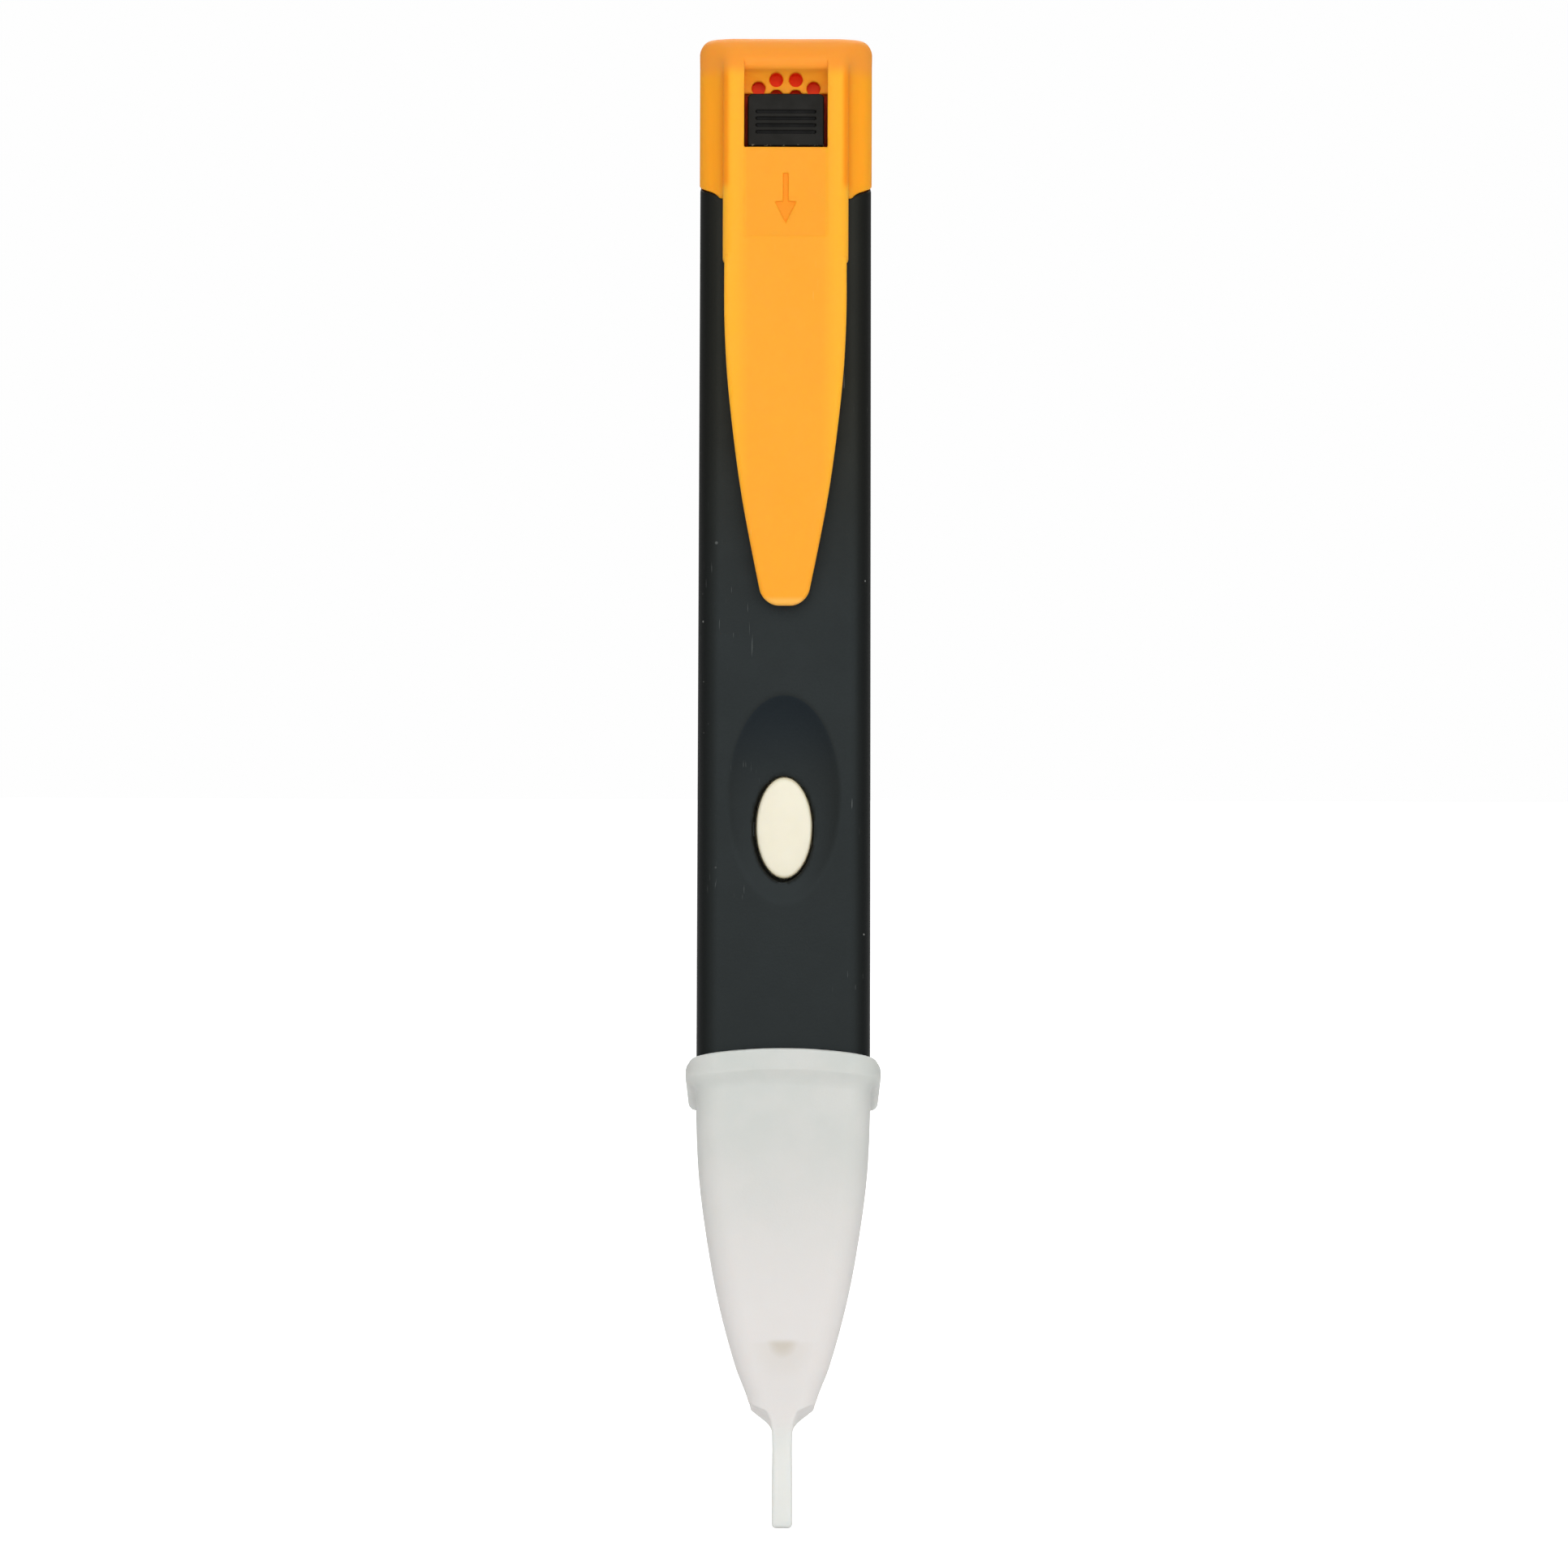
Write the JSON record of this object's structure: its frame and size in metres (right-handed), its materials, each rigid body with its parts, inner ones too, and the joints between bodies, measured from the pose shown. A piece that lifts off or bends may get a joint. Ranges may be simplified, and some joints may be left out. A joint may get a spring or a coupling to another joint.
{
  "type": "non contact voltage tester",
  "caption": "Pen-shaped voltage tester: dark barrel with battery bay, translucent nose with a thin sensing blade, slide-off orange cap with pocket clip, latch tab and oval push button.",
  "frame": {"origin": "middle of the sensing blade's end face", "axes": "+Z along the pen from the blade to the end cap; -Y is the front with the clip and the button; +X is to the right of someone facing the front"},
  "size_m": [0.0214, 0.0293, 0.16],
  "materials": {
    "barrel": "fine matte texture, slate grey",
    "nose": "translucent milky white, satin",
    "cap": "satin, fine moulded texture",
    "latch": "satin black",
    "button": "satin cream",
    "inner_plastic": "plain moulded",
    "board": "solder mask",
    "contact_metal": "nickel plated",
    "brass_parts": "bright",
    "ceramic": "matt",
    "lamp": "tinted clear",
    "cell_metal": "nickel plated steel",
    "cell_sleeve": "printed film, left plain"
  },
  "bodies": {
    "barrel": {"body_shell": "barrel", "nose_cone": "nose", "switch_base": "inner_plastic", "switch_cover": "contact_metal", "circuit_board": "board", "control_chip": "inner_plastic", "amplifier_transistor": "inner_plastic", "filter_capacitor": "ceramic", "timing_capacitor": "ceramic", "resistor_1": "inner_plastic", "resistor_2": "inner_plastic", "resistor_3": "inner_plastic", "resistor_4": "inner_plastic", "chassis": "inner_plastic", "led_lens": "lamp", "led_lead_front": "contact_metal", "led_lead_rear": "contact_metal", "sensor_strip": "brass_parts", "sensor_wire": "brass_parts", "negative_spring": "contact_metal", "positive_contact": "contact_metal", "feed_strip_left": "brass_parts", "feed_strip_right": "brass_parts"},
    "cap": {"end_cap": "cap", "bridge_plate": "contact_metal", "bridge_spring": "contact_metal", "bridge_carrier": "inner_plastic", "sounder_ring": "inner_plastic", "sounder_plate": "brass_parts", "sounder_ceramic": "ceramic", "sounder_leaf_left": "brass_parts", "sounder_leaf_right": "brass_parts"},
    "clip": {"pocket_clip": "cap"},
    "latch": {"latch_tongue": "latch"},
    "button": {"button_cap": "button"},
    "plunger": {"switch_plunger": "inner_plastic"},
    "cells": {"cell_front": "cell_metal", "cell_front_sleeve": "cell_sleeve", "cell_rear": "cell_metal", "cell_rear_sleeve": "cell_sleeve"}
  },
  "joints": [
    {"name": "cap_slide", "type": "slide", "parent": "barrel", "child": "cap", "axis": [0, 0, 1], "range_m": [0, 0.03]},
    {"name": "cells_slide", "type": "slide", "parent": "barrel", "child": "cells", "axis": [0, 0, 1], "range_m": [0, 0.027]},
    {"name": "clip_flex", "type": "hinge", "parent": "cap", "child": "clip", "pos_m": [0, -0.0146, 0.136], "axis": [-1, 0, 0], "range_deg": [0, 5], "stiffness_Nm_per_rad": 2.2},
    {"name": "latch_press", "type": "hinge", "parent": "barrel", "child": "latch", "pos_m": [0, -0.0133, 0.1405], "axis": [-1, 0, 0], "range_deg": [0, 4], "stiffness_Nm_per_rad": 0.35},
    {"name": "button_press", "type": "slide", "parent": "barrel", "child": "button", "axis": [0, 1, 0], "range_m": [0, 0.0005], "stiffness_N_per_m": 4000},
    {"name": "plunger_press", "type": "slide", "parent": "barrel", "child": "plunger", "axis": [0, 1, 0], "range_m": [0, 0.0005]}
  ],
  "couplings": [
    {"joint": "cells_slide", "follows": "cap_slide", "ratio": 0.9},
    {"joint": "plunger_press", "follows": "button_press", "ratio": 1}
  ]
}
